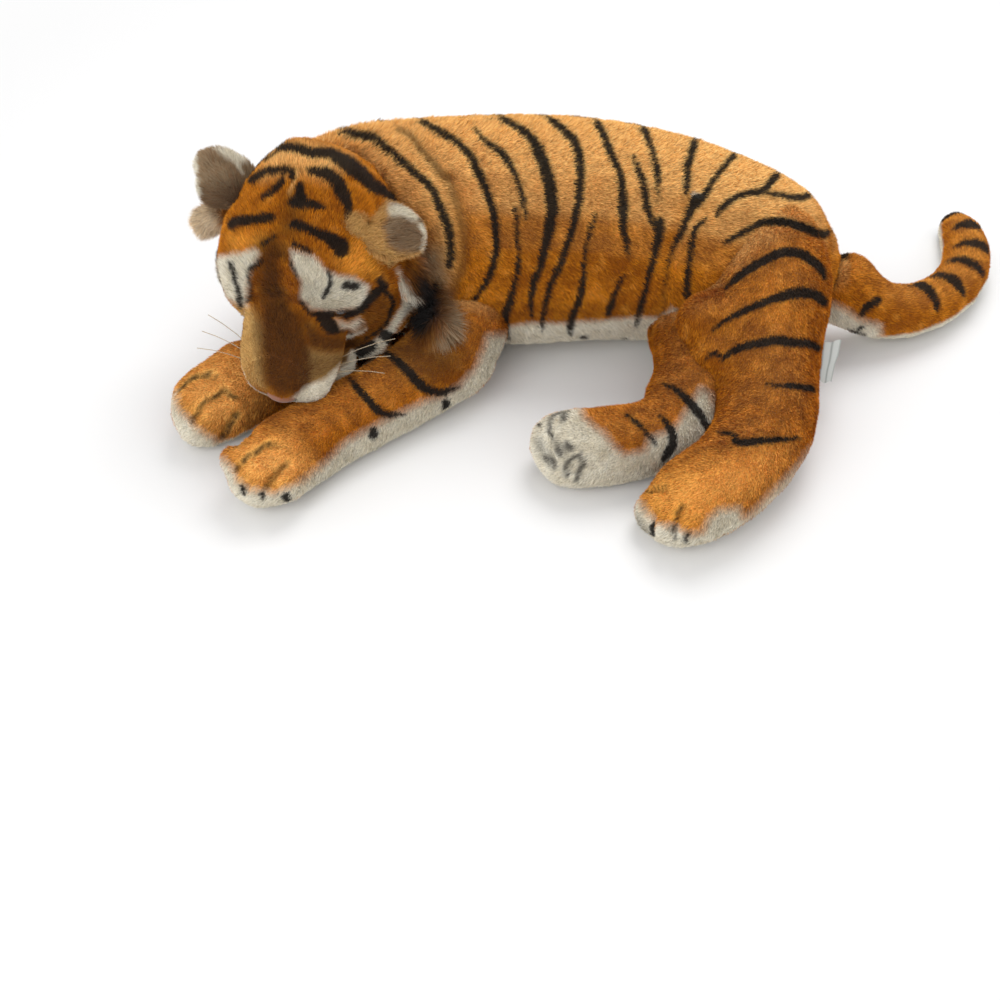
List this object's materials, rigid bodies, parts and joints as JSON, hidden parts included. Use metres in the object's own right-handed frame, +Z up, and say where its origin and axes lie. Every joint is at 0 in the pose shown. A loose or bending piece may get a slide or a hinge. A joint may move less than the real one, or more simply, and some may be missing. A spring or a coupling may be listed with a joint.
{
  "type": "plush tiger",
  "caption": "Large stuffed plush tiger that lies on its belly with its head turned and bowed, legs stretched out to one side and its tail behind.",
  "frame": {"origin": "middle of the belly's flat patch, where the tiger rests on the floor", "axes": "+Z up from the floor, +X from the head end to the tail, -Y towards the tiger's left side, where its legs lie"},
  "size_m": [0.9958, 0.5904, 0.2646],
  "materials": {
    "orange_pile": "short orange plush pile with black stripes printed in it",
    "white_pile": "short cream-white plush pile",
    "brown_pile": "short brown plush pile",
    "dark_pile": "long dark grey plush pile, paler at its tips",
    "ear_lining": "short taupe pile inside the ears",
    "stuffing": "white polyester fibre fill",
    "nose_cloth": "pink velour",
    "eye_resin": "dark glossy moulded eye",
    "washer_plastic": "white moulded washer",
    "nylon": "clear pale nylon filament",
    "label_cloth": "bare white woven tape"
  },
  "bodies": {
    "torso": {"back_cover_left": "orange_pile", "back_cover_right": "orange_pile", "belly_cover": "white_pile", "torso_stuffing": "stuffing", "neck_fold": "orange_pile", "left_foreleg_fold": "orange_pile", "right_foreleg_fold": "orange_pile", "left_hind_leg_fold": "orange_pile", "right_hind_leg_fold": "orange_pile", "tail_fold": "orange_pile"},
    "head": {"head_cover_left": "orange_pile", "head_cover_right": "orange_pile", "head_stuffing": "stuffing", "muzzle_bridge_cover": "brown_pile", "muzzle_side_cover": "white_pile", "muzzle_stuffing": "stuffing", "chin": "white_pile", "nose": "nose_cloth", "cheek_ruff_left": "dark_pile", "cheek_ruff_right": "dark_pile", "eye_left": "eye_resin", "eye_right": "eye_resin", "eye_washer_left": "washer_plastic", "eye_washer_right": "washer_plastic", "whisker_left_1": "nylon", "whisker_left_2": "nylon", "whisker_left_3": "nylon", "whisker_right_1": "nylon", "whisker_right_2": "nylon", "whisker_right_3": "nylon", "ear_fold_left": "brown_pile", "ear_fold_right": "brown_pile"},
    "ear_left": {"ear_back_left": "brown_pile", "ear_lining_left": "ear_lining"},
    "ear_right": {"ear_back_right": "brown_pile", "ear_lining_right": "ear_lining"},
    "left_foreleg": {"left_foreleg_upper_cover": "orange_pile", "left_foreleg_under_cover": "white_pile", "left_foreleg_stuffing": "stuffing"},
    "right_foreleg": {"right_foreleg_upper_cover": "orange_pile", "right_foreleg_under_cover": "white_pile", "right_foreleg_stuffing": "stuffing"},
    "left_hind_leg": {"left_hind_leg_upper_cover": "orange_pile", "left_hind_leg_under_cover": "white_pile", "left_hind_leg_stuffing": "stuffing", "care_label": "label_cloth"},
    "right_hind_leg": {"right_hind_leg_upper_cover": "orange_pile", "right_hind_leg_under_cover": "white_pile", "right_hind_leg_stuffing": "stuffing"},
    "tail": {"tail_upper_cover": "orange_pile", "tail_under_cover": "white_pile", "tail_stuffing": "stuffing"}
  },
  "joints": [
    {"name": "head_nod", "type": "hinge", "parent": "torso", "child": "head", "pos_m": [-0.2712, -0.11184, 0.15624], "axis": [-0.9711, 0.2364, -0.0328], "range_deg": [0, 10], "stiffness_Nm_per_rad": 1, "deforming": ["neck_fold"]},
    {"name": "left_foreleg_swing", "type": "hinge", "parent": "torso", "child": "left_foreleg", "pos_m": [-0.105, -0.1056, 0.07308], "axis": [0, 0, 1], "range_deg": [0, 12], "stiffness_Nm_per_rad": 0.4, "deforming": ["left_foreleg_fold"]},
    {"name": "right_foreleg_swing", "type": "hinge", "parent": "torso", "child": "right_foreleg", "pos_m": [-0.198, -0.0312, 0.0378], "axis": [0, 0, 1], "range_deg": [-10, 0], "stiffness_Nm_per_rad": 0.4, "deforming": ["right_foreleg_fold"]},
    {"name": "left_hind_leg_swing", "type": "hinge", "parent": "torso", "child": "left_hind_leg", "pos_m": [0.237, -0.06, 0.14112], "axis": [0, 0, 1], "range_deg": [0, 10], "stiffness_Nm_per_rad": 0.5, "deforming": ["left_hind_leg_fold"]},
    {"name": "right_hind_leg_swing", "type": "hinge", "parent": "torso", "child": "right_hind_leg", "pos_m": [0.144, -0.1056, 0.04788], "axis": [0, 0, 1], "range_deg": [-10, 0], "stiffness_Nm_per_rad": 0.4, "deforming": ["right_hind_leg_fold"]},
    {"name": "tail_swing", "type": "hinge", "parent": "torso", "child": "tail", "pos_m": [0.318, -0.0564, 0.07308], "axis": [0, 0, 1], "range_deg": [0, 18], "stiffness_Nm_per_rad": 0.2, "deforming": ["tail_fold"]},
    {"name": "ear_left_flex", "type": "hinge", "parent": "head", "child": "ear_left", "pos_m": [-0.1977, -0.1336, 0.216], "axis": [-0.1863, -0.9803, -0.0661], "range_deg": [-8, 8], "stiffness_Nm_per_rad": 0.05, "deforming": ["ear_fold_left"]},
    {"name": "ear_right_flex", "type": "hinge", "parent": "head", "child": "ear_right", "pos_m": [-0.3383, -0.0807, 0.2248], "axis": [0.1647, 0.9769, -0.1359], "range_deg": [-8, 8], "stiffness_Nm_per_rad": 0.05, "deforming": ["ear_fold_right"]}
  ]
}
